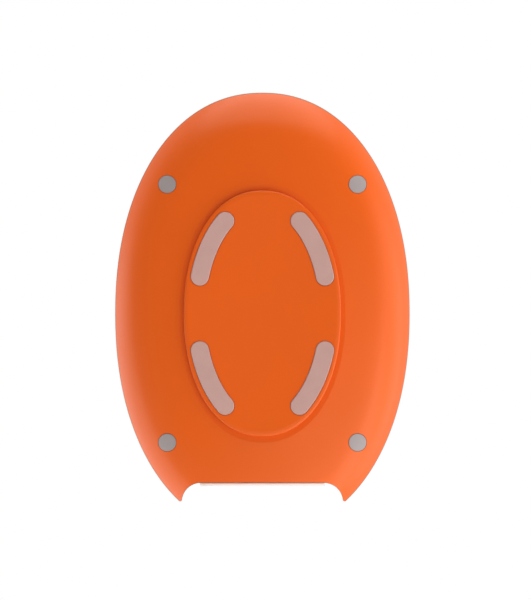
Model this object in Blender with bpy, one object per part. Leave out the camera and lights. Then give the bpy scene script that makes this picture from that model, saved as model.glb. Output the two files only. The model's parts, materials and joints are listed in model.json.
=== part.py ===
"""Oval scoop board: a dished rescue board that is slid under a casualty's back, open at one end.

Two moulded shells close on a foam core. The lower shell carries an oval base plate with four grip pads.
Four screws in wells hold the shells together, each hidden by a round plug, flush with the lower shell.
Units are metres, +Z is up, +Y points to the head end, and the open mouth is at -Y.
The origin is on the ground, at the middle of the board's footprint.
"""

import math

import bmesh
import bpy
import numpy as np
from mathutils import Vector

# Outline, seen from above and measured from the centre of the base plate
HALF_WIDTH = 0.2025
HEAD_REACH = 0.3030
OUTLINE_POWER = 2.15
MOUTH_REACH = 0.2328
MOUTH_HALF_WIDTH = 0.1106
MOUTH_CORNER_RADIUS = 0.0261
HORN_TIP_RADIUS = 0.0025

# Base plate and grip pads
BASE_HALF_WIDTH = 0.1080
BASE_HALF_LENGTH = 0.1687
BASE_THICKNESS = 0.0080
BASE_CROWN_WIDTH = 0.0075
BASE_CROWN_DROP = 0.0007
BASE_EDGE_WIDTH = 0.0012
PAD_WIDTH = 0.0250
PAD_SIDE_MARGIN = 0.0045
PAD_END_MARGIN = 0.0028
PAD_START_ANGLE = math.radians(19.3)
PAD_END_ANGLE = math.radians(55.8)
PAD_POCKET_DEPTH = 0.0025
PAD_PROUD = 0.0010
PAD_EDGE_RADIUS = 0.0008
PAD_SIDE_CLEARANCE = 0.0005

# Heights and walls of the two shells
RIM_HEIGHT = 0.0640
RIM_LAND = 0.0012
SHELL_WALL = 0.0032
PANEL_WALL = 0.0030
LEDGE_LEVEL = 0.065
SHELL_STRAIGHT_SHARE = 0.30
SHELL_BEND_POWER = 5
PANEL_STRAIGHT_SHARE = 0.45
PANEL_BEND_POWER = 6
PANEL_SINK = 0.0003
SKIRT_WALL = 0.0042
SKIRT_CLEARANCE = 0.0014
LIP_END_MARGIN = 0.0020
LIP_RISE = 0.0006
LIP_FADE = 0.0020
MOUTH_EDGE_INSET = 0.0012

# Gasket between the shells, and the foam core
GASKET_WIDTH = 0.0026
GASKET_DEPTH = 0.0028
GASKET_CLEARANCE = 0.0006
CORE_CLEARANCE = 0.0010
CORE_RIM_MARGIN = 0.0190
CORE_MOUTH_MARGIN = 0.0130

# Screws that close the shells, in wells behind the round plugs
PLUG_LEVEL = 0.672
PLUG_ANGLE = math.radians(41.7)
PLUG_RADIUS = 0.0121
PLUG_THIN_SIDE = 0.0007
PLUG_EDGE_CHAMFER = 0.0004
WELL_WALL = 0.0020
WELL_FLOOR = 0.0027
SHELL_SCREW_RADIUS = 0.0024
SHELL_SCREW_HEAD_RADIUS = 0.0047
SHELL_SCREW_HEAD_HEIGHT = 0.0032
SHELL_SCREW_LENGTH = 0.0110
WASHER_RADIUS = 0.0060
WASHER_THICKNESS = 0.0010
INSERT_LENGTH = 0.0070
INSERT_WALL = 0.0010
BOSS_WALL = 0.0030
BOSS_SKIN = 0.0014

# Countersunk screws under the pads, which hold the base plate
BASE_SCREW_SHARES = (0.22, 0.78)
BASE_SCREW_RADIUS = 0.0018
BASE_SCREW_HEAD_RADIUS = 0.0040
BASE_SCREW_HEAD_HEIGHT = 0.0022
BASE_SCREW_LENGTH = 0.0140
BASE_BOSS_WALL = 0.0026
BASE_BOSS_CAP = 0.0015
RECESS_RADIUS = 0.0016
RECESS_DEPTH = 0.0014

# Gaps
SEAT_GAP = 0.0003
BORE_CLEARANCE = 0.0004

# Mesh fineness
RIM_STEPS = 17
TIP_STEPS = 3
CORNER_STEPS = 5
BORE_SEGMENTS = 20
SCREW_SEGMENTS = 12
FILLET_STEPS = 3
CROWN_STEPS = 3

# Parameter angles, on the inner rings, that face the ends of the rim, horn tip, mouth corner and mouth edge
GUIDE_ANGLES = tuple(math.radians(a) for a in (90, -32, -36, -58, -90))
GUIDE_LEVEL = 0.30

SHELL_UNDERSIDE = PAD_PROUD + BASE_THICKNESS + SEAT_GAP
LIP_HALF_WIDTH = MOUTH_HALF_WIDTH - MOUTH_CORNER_RADIUS - LIP_END_MARGIN
LIP_OVERHANG = SKIRT_WALL + SEAT_GAP
RIM_RUN = HALF_WIDTH - BASE_HALF_WIDTH
SHELL_RISE = RIM_HEIGHT - RIM_LAND - SHELL_UNDERSIDE


# ---- Outline of the board ----


def level_axes(level):
    """Half width and half length of the oval at a level: 0 is the base plate's outline, 1 is the rim's."""
    return (
        BASE_HALF_WIDTH + level * (HALF_WIDTH - BASE_HALF_WIDTH),
        BASE_HALF_LENGTH + level * (HEAD_REACH - BASE_HALF_LENGTH),
    )


def oval_point(axes, angle):
    """Point of an oval at a parameter angle."""
    power = 2 / OUTLINE_POWER
    c, s = math.cos(angle), math.sin(angle)
    return Vector((axes[0] * math.copysign(abs(c) ** power, c), axes[1] * math.copysign(abs(s) ** power, s)))


def oval_normal(axes, point):
    """Outward unit normal of an oval."""
    steep = OUTLINE_POWER - 1
    across = math.copysign((abs(point.x) / axes[0]) ** steep / axes[0], point.x)
    along = math.copysign((abs(point.y) / axes[1]) ** steep / axes[1], point.y)
    return Vector((across, along)).normalized()


def level_of(x, y):
    """Level of each plan point, by halving an interval: below 0 is over the base plate, 1 is the rim."""
    low = np.full(np.shape(x), -0.9)
    high = np.full(np.shape(x), 1.5)
    for _ in range(40):
        middle = (low + high) / 2
        half_width, half_length = level_axes(middle)
        outside = (np.abs(x) / half_width) ** OUTLINE_POWER + (np.abs(y) / half_length) ** OUTLINE_POWER > 1
        low = np.where(outside, middle, low)
        high = np.where(outside, high, middle)
    return (low + high) / 2


def horn_fillet(axes, reach, half_width, radius):
    """Centre of the round horn tip, between oval and mouth corner, and the oval angle where it starts."""

    def spare(angle):
        foot = oval_point(axes, angle)
        centre = foot - oval_normal(axes, foot) * HORN_TIP_RADIUS
        aside = centre.x - (half_width - radius)
        above = centre.y + reach + radius
        gap = math.hypot(aside, above) - radius if above > 0 else centre.x - half_width
        return gap - HORN_TIP_RADIUS, centre

    near, far = math.radians(-20), math.radians(-85)
    for _ in range(50):
        middle = (near + far) / 2
        if spare(middle)[0] > 0:
            near = middle
        else:
            far = middle
    return spare(near)[1], near


def outline(level, mouth_inset=0.0, lip=0.0):
    """Plan points of a closed outline: an oval at a level, cut by the mouth.

    The mouth's edge lies mouth_inset inside the lower shell's, its straight stretch drawn out by lip.
    """
    axes = level_axes(level)
    reach = MOUTH_REACH - mouth_inset
    half_width = MOUTH_HALF_WIDTH + mouth_inset
    radius = MOUTH_CORNER_RADIUS + mouth_inset
    corner = Vector((half_width - radius, -reach - radius))
    tip, tip_angle = horn_fillet(axes, reach, half_width, radius)

    half = [oval_point(axes, a) for a in np.linspace(math.radians(90), tip_angle, RIM_STEPS + 1)]
    start = half[-1] - tip
    end = corner - tip
    first, last = math.atan2(start.y, start.x), math.atan2(end.y, end.x)
    if last > first:
        last -= math.tau
    for angle in np.linspace(first, last, TIP_STEPS + 1)[1:]:
        half.append(tip + Vector((math.cos(angle), math.sin(angle))) * HORN_TIP_RADIUS)
    foot = math.atan2(-end.y, -end.x)
    for angle in np.linspace(foot, math.radians(90), CORNER_STEPS + 1)[1:]:
        half.append(corner + Vector((math.cos(angle), math.sin(angle))) * radius)
    for across in edge_stations(corner.x):
        half.append(Vector((across, -reach - lip * lip_window(across))))
    return mirrored(half)


def edge_stations(end):
    """Distances from the centre line of the points on the mouth's straight edge, from its end inwards."""
    fade_start = LIP_HALF_WIDTH
    return [
        fade_start + (end - fade_start) / 2,
        fade_start,
        fade_start - LIP_FADE,
        fade_start / 2,
        0.0,
    ]


def lip_window(across):
    """1 along the lip, falling to 0 just past its ends."""
    end = MOUTH_HALF_WIDTH - MOUTH_CORNER_RADIUS
    share = min(max((end - across) / (end - LIP_HALF_WIDTH), 0.0), 1.0)
    return share * share * (3 - 2 * share)


def mirrored(half):
    """Closed loop of plan points from its +X half, which runs from +Y to -Y."""
    return [(p.x, p.y) for p in half] + [(-p.x, p.y) for p in reversed(half[1:-1])]


def guide_ring(level):
    """Whole oval at a low level, its points spaced to face those of the outlines."""
    axes = level_axes(level)
    edge_steps = len(edge_stations(0.0))
    stretches = zip(GUIDE_ANGLES, GUIDE_ANGLES[1:], (RIM_STEPS, TIP_STEPS, CORNER_STEPS, edge_steps))
    half = [oval_point(axes, GUIDE_ANGLES[0])]
    for first, last, steps in stretches:
        half += [oval_point(axes, a) for a in np.linspace(first, last, steps + 1)[1:]]
    half[-1].x = 0.0
    half[0].x = 0.0
    return mirrored(half)


def between(inner, outer, share):
    """Loop a share of the way from one plan loop to another."""
    return [tuple(np.add(np.multiply(a, 1 - share), np.multiply(b, share))) for a, b in zip(inner, outer)]


# ---- Heights of the shells' surfaces ----


def dish_rise(level, straight_share, bend_power, ledge=0.0):
    """Share of a dish's height gained at a level: flat to the ledge's end, a straight slope, then a bend."""
    run = np.clip((level - ledge) / (1 - ledge), 0, None)
    return straight_share * run + (1 - straight_share) * run**bend_power


def dish_slope(level, straight_share, bend_power, ledge=0.0):
    """Derivative of dish_rise by the level."""
    run = np.clip((level - ledge) / (1 - ledge), 0, None)
    slope = straight_share + (1 - straight_share) * bend_power * run ** (bend_power - 1)
    return np.where(level > ledge, slope, 0.0) / (1 - ledge)


def shell_bottom(x, y):
    """Height of the lower shell's outer face."""
    rise = dish_rise(level_of(x, y), SHELL_STRAIGHT_SHARE, SHELL_BEND_POWER, LEDGE_LEVEL)
    return SHELL_UNDERSIDE + SHELL_RISE * rise


def offset_profile(rise, straight_share, bend_power, wall, ledge=0.0):
    """Levels and heights of a dish's face moved along its normal, in a section across the board."""
    level = np.linspace(0, 1, 301)
    slope = rise / RIM_RUN * dish_slope(level, straight_share, bend_power, ledge)
    length = np.sqrt(1 + slope**2)
    height = rise * dish_rise(level, straight_share, bend_power, ledge) + wall / length
    return level - wall * slope / length / RIM_RUN, height


SHELL_INSIDE = offset_profile(SHELL_RISE, SHELL_STRAIGHT_SHARE, SHELL_BEND_POWER, SHELL_WALL, LEDGE_LEVEL)
RIM_INSIDE_LEVEL = float(SHELL_INSIDE[0][-1])
GASKET_OUTER_LEVEL = RIM_INSIDE_LEVEL - GASKET_CLEARANCE / RIM_RUN
GASKET_FOOT = RIM_HEIGHT - GASKET_DEPTH - GASKET_CLEARANCE - SHELL_UNDERSIDE
GASKET_FOOT_LEVEL = float(np.interp(GASKET_FOOT, SHELL_INSIDE[1], SHELL_INSIDE[0]))
GASKET_FOOT_LEVEL -= GASKET_CLEARANCE / RIM_RUN
GASKET_INNER_LEVEL = GASKET_OUTER_LEVEL - GASKET_WIDTH / RIM_RUN
PANEL_LEVEL = GASKET_INNER_LEVEL - SEAT_GAP / RIM_RUN


def shell_top(x, y):
    """Height of the lower shell's inner face, up to the flat top of its rim."""
    level = level_of(x, y)
    height = SHELL_UNDERSIDE + np.interp(level, *SHELL_INSIDE)
    return np.where(level >= RIM_INSIDE_LEVEL - 1e-6, RIM_HEIGHT, height)


def plug_centre():
    """Plan place of the plug in the +X +Y quarter."""
    return oval_point(level_axes(PLUG_LEVEL), PLUG_ANGLE)


def height_at(face, point):
    """Height of a face at one plan point."""
    return float(face(np.array([point.x]), np.array([point.y]))[0])


# Slope of the lower shell's outer face at the plug, and the plug's thickness at its centre
PLUG_SLOPE = SHELL_RISE / RIM_RUN * float(
    dish_slope(PLUG_LEVEL, SHELL_STRAIGHT_SHARE, SHELL_BEND_POWER, LEDGE_LEVEL)
)
PLUG_THICKNESS = PLUG_RADIUS * PLUG_SLOPE + PLUG_EDGE_CHAMFER + PLUG_THIN_SIDE

# Heights in a screw well, above the lower shell's outer face at the plug's centre
HEAD_BOTTOM = PLUG_THICKNESS + SEAT_GAP
HEAD_TOP = HEAD_BOTTOM + SHELL_SCREW_HEAD_HEIGHT
WASHER_BOTTOM = HEAD_TOP + SEAT_GAP
FLOOR_BOTTOM = WASHER_BOTTOM + WASHER_THICKNESS + SEAT_GAP
FLOOR_TOP = FLOOR_BOTTOM + WELL_FLOOR
BOSS_BOTTOM = FLOOR_TOP + SEAT_GAP
INSERT_BOTTOM = BOSS_BOTTOM + SEAT_GAP
BOARD_DEPTH_AT_PLUG = INSERT_BOTTOM + INSERT_LENGTH + SEAT_GAP + BOSS_SKIN

PANEL_EDGE_HEIGHT = RIM_HEIGHT - PANEL_SINK
PANEL_EDGE_SHARE = float(dish_rise(PANEL_LEVEL, PANEL_STRAIGHT_SHARE, PANEL_BEND_POWER))
PLUG_SHARE = float(dish_rise(PLUG_LEVEL, PANEL_STRAIGHT_SHARE, PANEL_BEND_POWER)) / PANEL_EDGE_SHARE
PANEL_AT_PLUG = height_at(shell_bottom, plug_centre()) + BOARD_DEPTH_AT_PLUG
PANEL_FLOOR_HEIGHT = (PANEL_AT_PLUG - PLUG_SHARE * PANEL_EDGE_HEIGHT) / (1 - PLUG_SHARE)
PANEL_RISE = (PANEL_EDGE_HEIGHT - PANEL_FLOOR_HEIGHT) / PANEL_EDGE_SHARE
PANEL_UNDERSIDE = offset_profile(PANEL_RISE, PANEL_STRAIGHT_SHARE, PANEL_BEND_POWER, -PANEL_WALL)


def panel_top(x, y):
    """Height of the upper panel's face."""
    rise = dish_rise(level_of(x, y), PANEL_STRAIGHT_SHARE, PANEL_BEND_POWER)
    return PANEL_FLOOR_HEIGHT + PANEL_RISE * rise


def panel_bottom(x, y):
    """Height of the upper panel's underside."""
    return PANEL_FLOOR_HEIGHT + np.interp(level_of(x, y), *PANEL_UNDERSIDE)


def raised(loop, face, lift=0.0):
    """Loop of points in space, each at a face's height plus a lift. A number stands for a level face."""
    x, y = np.array(loop).T
    z = face(x, y) if callable(face) else np.full(len(x), face)
    return np.column_stack([x, y, z + lift])


# ---- Blender helpers ----


def clear_scene():
    for old in list(bpy.data.objects):
        bpy.data.objects.remove(old)


def plastic(name, colour, roughness, metallic=0.0):
    """Principled material."""
    material = bpy.data.materials.new(name)
    material.use_nodes = True
    shader = material.node_tree.nodes["Principled BSDF"]
    shader.inputs["Base Color"].default_value = (*colour, 1)
    shader.inputs["Roughness"].default_value = roughness
    shader.inputs["Metallic"].default_value = metallic
    material.diffuse_color = (*colour, 1)
    return material


def add_loft(bm, loops, ring=False):
    """Skins a stack of equal loops into bm. The ends are capped, or joined to each other if ring is set."""
    rows = [[bm.verts.new(p) for p in loop] for loop in loops]
    pairs = list(zip(rows, rows[1:]))
    if ring:
        pairs.append((rows[-1], rows[0]))
    for low, high in pairs:
        for k in range(len(low)):
            after = (k + 1) % len(low)
            bm.faces.new((low[k], low[after], high[after], high[k]))
    if not ring:
        bm.faces.new(list(reversed(rows[0])))
        bm.faces.new(rows[-1])


def add_object(name, stacks, material=None, ring=False, parent=None):
    """Object made of one or more lofted stacks of loops."""
    bm = bmesh.new()
    for loops in stacks:
        add_loft(bm, loops, ring)
    bmesh.ops.recalc_face_normals(bm, faces=bm.faces)
    mesh = bpy.data.meshes.new(name)
    bm.to_mesh(mesh)
    bm.free()
    made = bpy.data.objects.new(name, mesh)
    bpy.context.scene.collection.objects.link(made)
    made.parent = parent
    if material:
        mesh.materials.append(material)
    smooth(mesh)
    return made


def smooth(mesh):
    mesh.shade_smooth()
    mesh.set_sharp_from_angle(angle=math.radians(35))


def helper(name, stacks, parent):
    """Shape that is only added to or cut from another."""
    made = add_object(name, stacks, parent=parent)
    made.hide_render = True
    made.display_type = "WIRE"
    return made


def combine(target, other, operation):
    modifier = target.modifiers.new(other.name, "BOOLEAN")
    modifier.operation = operation
    modifier.object = other
    modifier.solver = "EXACT"


def disc_loop(centre, radius, height, segments, tilt=(0.0, 0.0)):
    """Circle about a plan point. tilt is the slope of its plane along X and Y."""
    loop = []
    for k in range(segments):
        angle = math.tau * k / segments
        across, along = radius * math.cos(angle), radius * math.sin(angle)
        loop.append((centre[0] + across, centre[1] + along, height + tilt[0] * across + tilt[1] * along))
    return loop


def turned(centre, profile, segments):
    """Stack of circles about a vertical axis, from (radius, height) pairs."""
    return [disc_loop(centre, radius, height, segments) for radius, height in profile]


# ---- Plan places that repeat ----


def quarters():
    """The four quarters of the board: (name, sign of X, sign of Y)."""
    return [("head_left", 1, 1), ("head_right", -1, 1), ("mouth_left", 1, -1), ("mouth_right", -1, -1)]


def pad_track(share):
    """Centre line of the +X +Y pad: the point a share of the way along it, and the unit normal there."""
    half_width = BASE_HALF_WIDTH - PAD_SIDE_MARGIN - PAD_WIDTH / 2
    half_length = BASE_HALF_LENGTH - PAD_END_MARGIN - PAD_WIDTH / 2
    angle = PAD_START_ANGLE + share * (PAD_END_ANGLE - PAD_START_ANGLE)
    point = Vector((half_width * math.cos(angle), half_length * math.sin(angle)))
    normal = Vector((half_length * math.cos(angle), half_width * math.sin(angle))).normalized()
    return point, normal


def pad_loop(half_width, height, sides, steps=7, cap_steps=6):
    """Outline of a curved pad with round ends, at a height, in the quarter that sides gives."""
    track = [pad_track(k / steps) for k in range(steps + 1)]
    loop = [point + normal * half_width for point, normal in track]
    loop += cap_points(track[-1], half_width, cap_steps, 1)
    loop += [point - normal * half_width for point, normal in reversed(track)]
    loop += cap_points(track[0], half_width, cap_steps, -1)
    return [(sides[0] * p.x, sides[1] * p.y, height) for p in loop]


def cap_points(end, radius, steps, way):
    """Points of a half circle that rounds off one end of a pad, its two ends left out."""
    point, normal = end
    start = math.atan2(normal.y, normal.x) + (0 if way > 0 else math.pi)
    turns = [start + math.pi * k / steps for k in range(1, steps)]
    return [point + Vector((math.cos(a), math.sin(a))) * radius for a in turns]


def base_screw_places():
    """(name, plan point) of each base plate screw, two under each pad."""
    places = []
    for quarter, across, along in quarters():
        for number, share in enumerate(BASE_SCREW_SHARES, 1):
            point, _ = pad_track(share)
            places.append((f"{quarter}_{number}", (across * point.x, along * point.y)))
    return places


def well_places():
    """(name, plan point, height of the shell there, slope of the shell along X and Y) of each screw well."""
    centre = plug_centre()
    step = PLUG_RADIUS / 2
    places = []
    for quarter, across, along in quarters():
        point = Vector((across * centre.x, along * centre.y))
        slopes = []
        for aside in (Vector((step, 0)), Vector((0, step))):
            higher = height_at(shell_bottom, point + aside)
            slopes.append((higher - height_at(shell_bottom, point - aside)) / (2 * step))
        places.append((quarter, point, height_at(shell_bottom, point), slopes))
    return places


# ---- The parts ----


def make_shell(material, parent):
    """Lower shell: a dished skin with four screw wells and eight bosses for the base plate's screws."""
    rim = outline(1.0)
    inner_rim = outline(RIM_INSIDE_LEVEL, mouth_inset=SEAT_GAP)
    guide = guide_ring(GUIDE_LEVEL)
    low_rings = [guide_ring(0.0), guide_ring(LEDGE_LEVEL), guide_ring(GUIDE_LEVEL / 2), guide]
    outer_shares = (0.27, 0.5, 0.68, 0.81, 0.91, 0.965, 1.0)
    inner_shares = (0.975, 0.94, 0.87, 0.76, 0.62, 0.42, 0.2)
    loops = [raised(ring, shell_bottom) for ring in low_rings]
    loops += [raised(between(guide, rim, share), shell_bottom) for share in outer_shares]
    loops.append(raised(rim, shell_top))
    loops.append(raised(inner_rim, shell_top))
    loops += [raised(between(guide, inner_rim, share), shell_top) for share in inner_shares]
    loops += [raised(ring, shell_top) for ring in reversed(low_rings)]
    shell = add_object("lower_shell", [loops], material, parent=parent)

    wells, bores = [], []
    for _, point, height, slopes in well_places():
        well_radius = PLUG_RADIUS + BORE_CLEARANCE + WELL_WALL
        sunk = SHELL_WALL / 2
        wells.append(
            [
                disc_loop(point, well_radius, height + sunk, BORE_SEGMENTS, slopes),
                disc_loop(point, well_radius, height + FLOOR_TOP, BORE_SEGMENTS),
            ]
        )
        bore, hole = PLUG_RADIUS + BORE_CLEARANCE, SHELL_SCREW_RADIUS + BORE_CLEARANCE
        below = height - PLUG_RADIUS
        bores.append(
            turned(
                point,
                [
                    (bore, below),
                    (bore, height + FLOOR_BOTTOM),
                    (hole, height + FLOOR_BOTTOM),
                    (hole, height + FLOOR_TOP + SHELL_WALL),
                ],
                BORE_SEGMENTS,
            )
        )
    boss_radius = BASE_SCREW_RADIUS + BORE_CLEARANCE + BASE_BOSS_WALL
    for _, point in base_screw_places():
        tip = PAD_PROUD + PAD_POCKET_DEPTH + BASE_SCREW_LENGTH
        top = tip + SEAT_GAP + BASE_BOSS_CAP
        middle = SHELL_UNDERSIDE + SHELL_WALL / 2
        wells.append(turned(point, [(boss_radius, middle), (boss_radius, top)], SCREW_SEGMENTS))
        hole = BASE_SCREW_RADIUS + BORE_CLEARANCE
        bores.append(turned(point, [(hole, SHELL_UNDERSIDE / 2), (hole, tip + SEAT_GAP)], SCREW_SEGMENTS))
    combine(shell, helper("shell_wells", wells, parent), "UNION")
    combine(shell, helper("shell_bores", bores, parent), "DIFFERENCE")


def skirt_bottom(loop, low=True):
    """Points under a loop of the panel's skirt: just above the lower shell, and lower along the lip."""
    points = raised(loop, shell_top, SKIRT_CLEARANCE)
    x, y = np.array(loop).T
    along_lip = np.abs(x) <= LIP_HALF_WIDTH - LIP_FADE + 1e-6
    past_edge = (y < -MOUTH_REACH + SKIRT_WALL) & along_lip
    if low:
        edge = shell_bottom(x, np.full(len(x), -MOUTH_REACH)) + LIP_RISE
        points[:, 2] = np.where(past_edge, edge, points[:, 2])
    return points


def make_panel(material, parent):
    """Upper panel: a dished skin with a skirt round it, a lip over the mouth's edge, and four bosses."""
    stretch = MOUTH_EDGE_INSET + LIP_OVERHANG
    edge = outline(PANEL_LEVEL, MOUTH_EDGE_INSET, stretch)
    inner_edge = outline(PANEL_LEVEL - SKIRT_WALL / RIM_RUN, MOUTH_EDGE_INSET + SKIRT_WALL, stretch)
    drafted = outline(
        PANEL_LEVEL - 1.4 * SKIRT_WALL / RIM_RUN, MOUTH_EDGE_INSET + 1.4 * SKIRT_WALL, stretch
    )
    guide = guide_ring(GUIDE_LEVEL)
    low_rings = [guide_ring(0.0), guide_ring(GUIDE_LEVEL / 2), guide]
    loops = [raised(ring, panel_top) for ring in low_rings]
    loops += [raised(between(guide, edge, share), panel_top) for share in (0.25, 0.5, 0.7, 0.85, 0.95, 1.0)]
    loops += [skirt_bottom(edge), skirt_bottom(inner_edge)]
    loops.append(raised(drafted, panel_bottom))
    loops += [raised(between(guide, drafted, share), panel_bottom) for share in (0.85, 0.65, 0.4, 0.2)]
    loops += [raised(ring, panel_bottom) for ring in reversed(low_rings)]
    panel = add_object("upper_panel", [loops], material, parent=parent)

    seat = SHELL_SCREW_RADIUS + BORE_CLEARANCE + INSERT_WALL + SEAT_GAP
    bosses, bores = [], []
    for _, point, height, _ in well_places():
        middle = height_at(panel_top, point) - PANEL_WALL / 2
        bosses.append(
            turned(
                point, [(seat + BOSS_WALL, height + BOSS_BOTTOM), (seat + BOSS_WALL, middle)], BORE_SEGMENTS
            )
        )
        top = height + INSERT_BOTTOM + INSERT_LENGTH + SEAT_GAP
        bores.append(turned(point, [(seat, height + FLOOR_BOTTOM), (seat, top)], BORE_SEGMENTS))
    combine(panel, helper("panel_bosses", bosses, parent), "UNION")
    combine(panel, helper("panel_bores", bores, parent), "DIFFERENCE")


def make_core(material, parent):
    """Foam core between the shells, with holes round the wells and bosses."""
    level = 1 - CORE_RIM_MARGIN / RIM_RUN
    edge = outline(level, CORE_MOUTH_MARGIN)
    guide = guide_ring(GUIDE_LEVEL)
    low_rings = [guide_ring(0.0), guide]
    shares = (0.4, 0.75, 1.0)
    loops = [raised(ring, shell_top, CORE_CLEARANCE) for ring in low_rings]
    loops += [raised(between(guide, edge, share), shell_top, CORE_CLEARANCE) for share in shares]
    for share in reversed(shares):
        loops.append(raised(between(guide, edge, share), panel_bottom, -CORE_CLEARANCE))
    loops += [raised(ring, panel_bottom, -CORE_CLEARANCE) for ring in reversed(low_rings)]
    core = add_object("foam_core", [loops], material, parent=parent)

    well_radius = PLUG_RADIUS + BORE_CLEARANCE + WELL_WALL + CORE_CLEARANCE
    boss_radius = BASE_SCREW_RADIUS + BORE_CLEARANCE + BASE_BOSS_WALL + CORE_CLEARANCE
    holes = [
        turned(point, [(well_radius, 0), (well_radius, RIM_HEIGHT)], BORE_SEGMENTS)
        for _, point, _, _ in well_places()
    ]
    holes += [
        turned(point, [(boss_radius, 0), (boss_radius, RIM_HEIGHT)], SCREW_SEGMENTS)
        for _, point in base_screw_places()
    ]
    combine(core, helper("core_holes", holes, parent), "DIFFERENCE")


def make_gasket(material, parent):
    """Sealing strip between the panel and the rim, from horn to horn."""
    top, bottom = RIM_HEIGHT - 2 * PANEL_SINK, RIM_HEIGHT - GASKET_DEPTH
    corners = [
        raised(outline(GASKET_INNER_LEVEL), top),
        raised(outline(GASKET_OUTER_LEVEL), top),
        raised(outline(GASKET_FOOT_LEVEL), bottom),
        raised(outline(GASKET_INNER_LEVEL), bottom),
    ]
    count = len(corners[0])
    run = [k % count for k in range(-RIM_STEPS, RIM_STEPS + 1)]
    sections = [[corner[k] for corner in corners] for k in run]
    add_object("rim_gasket", [sections], material, parent=parent)


def base_edge():
    """Insets and drops of the base plate's lower edge: a shallow crown, then a small rounded corner."""
    run = BASE_CROWN_WIDTH - BASE_EDGE_WIDTH
    shares = [k / CROWN_STEPS for k in range(CROWN_STEPS)]
    edge = [(BASE_CROWN_WIDTH - run * share, BASE_CROWN_DROP * share**2) for share in shares]
    tilt = math.atan(2 * BASE_CROWN_DROP / run)
    radius = BASE_EDGE_WIDTH / (1 - math.sin(tilt))
    for k in range(FILLET_STEPS + 1):
        turn = tilt + (math.pi / 2 - tilt) * k / FILLET_STEPS
        inset = BASE_EDGE_WIDTH - radius * (math.sin(turn) - math.sin(tilt))
        edge.append((inset, BASE_CROWN_DROP + radius * (math.cos(tilt) - math.cos(turn))))
    return edge


def make_base_plate(material, parent):
    """Oval base plate with a crowned and rounded lower edge, pad pockets and countersunk screw holes."""
    loops = [base_loop(inset, PAD_PROUD + drop) for inset, drop in base_edge()]
    loops.append(base_loop(0.0, PAD_PROUD + BASE_THICKNESS))
    plate = add_object("base_plate", [loops], material, parent=parent)

    floor = PAD_PROUD + PAD_POCKET_DEPTH
    pocket = PAD_WIDTH / 2 + PAD_SIDE_CLEARANCE
    pockets = [
        [pad_loop(pocket, 0.0, (across, along)), pad_loop(pocket, floor, (across, along))]
        for _, across, along in quarters()
    ]
    head, shank = BASE_SCREW_HEAD_RADIUS + BORE_CLEARANCE, BASE_SCREW_RADIUS + BORE_CLEARANCE
    holes = [
        turned(
            point,
            [
                (head, floor - PAD_POCKET_DEPTH / 2),
                (head, floor),
                (shank, floor + BASE_SCREW_HEAD_HEIGHT),
                (shank, PAD_PROUD + BASE_THICKNESS + SHELL_WALL),
            ],
            SCREW_SEGMENTS,
        )
        for _, point in base_screw_places()
    ]
    combine(plate, helper("pad_pockets", pockets, parent), "DIFFERENCE")
    combine(plate, helper("base_screw_holes", holes, parent), "DIFFERENCE")


def base_loop(inset, height, segments=56):
    axes = (BASE_HALF_WIDTH - inset, BASE_HALF_LENGTH - inset)
    return [(*oval_point(axes, math.tau * k / segments), height) for k in range(segments)]


def make_pads(material, parent):
    """Four curved grip pads, standing proud of the base plate."""
    top = PAD_PROUD + PAD_POCKET_DEPTH - SEAT_GAP
    for quarter, across, along in quarters():
        sides = (across, along)
        half_width = PAD_WIDTH / 2
        loops = [
            pad_loop(half_width - PAD_EDGE_RADIUS, 0.0, sides),
            pad_loop(half_width - PAD_EDGE_RADIUS / 4, PAD_EDGE_RADIUS / 3, sides),
            pad_loop(half_width, PAD_EDGE_RADIUS, sides),
            pad_loop(half_width, top, sides),
        ]
        add_object(f"grip_pad_{quarter}", [loops], material, parent=parent)


def make_well_fittings(materials, parent):
    """In each well: the plug, the screw, its washer, and the threaded insert in the panel's boss."""
    for quarter, point, height, slopes in well_places():
        chamfered = PLUG_RADIUS - PLUG_EDGE_CHAMFER
        plug = [
            disc_loop(point, chamfered, height, BORE_SEGMENTS, slopes),
            disc_loop(point, PLUG_RADIUS, height + PLUG_EDGE_CHAMFER, BORE_SEGMENTS, slopes),
            disc_loop(point, PLUG_RADIUS, height + PLUG_THICKNESS, BORE_SEGMENTS),
        ]
        add_object(f"screw_plug_{quarter}", [plug], materials["plug"], parent=parent)

        head, shank = SHELL_SCREW_HEAD_RADIUS, SHELL_SCREW_RADIUS
        screw = [
            (RECESS_RADIUS / 2, height + HEAD_BOTTOM + RECESS_DEPTH),
            (RECESS_RADIUS, height + HEAD_BOTTOM),
            (head * 0.8, height + HEAD_BOTTOM),
            (head, height + HEAD_BOTTOM + SHELL_SCREW_HEAD_HEIGHT / 3),
            (head, height + HEAD_TOP),
            (shank, height + HEAD_TOP),
            (shank, height + HEAD_TOP + SHELL_SCREW_LENGTH - shank / 2),
            (shank / 2, height + HEAD_TOP + SHELL_SCREW_LENGTH),
        ]
        add_object(
            f"shell_screw_{quarter}",
            [turned(point, screw, SCREW_SEGMENTS)],
            materials["steel"],
            parent=parent,
        )

        hole, bottom = shank + BORE_CLEARANCE, height + WASHER_BOTTOM
        washer = [
            (hole, bottom),
            (WASHER_RADIUS, bottom),
            (WASHER_RADIUS, bottom + WASHER_THICKNESS),
            (hole, bottom + WASHER_THICKNESS),
        ]
        add_object(
            f"washer_{quarter}", [turned(point, washer, BORE_SEGMENTS)], materials["steel"], True, parent
        )

        bottom = height + INSERT_BOTTOM
        insert = [
            (hole, bottom),
            (hole + INSERT_WALL, bottom),
            (hole + INSERT_WALL, bottom + INSERT_LENGTH),
            (hole, bottom + INSERT_LENGTH),
        ]
        add_object(
            f"threaded_insert_{quarter}",
            [turned(point, insert, SCREW_SEGMENTS)],
            materials["brass"],
            True,
            parent,
        )


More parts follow.
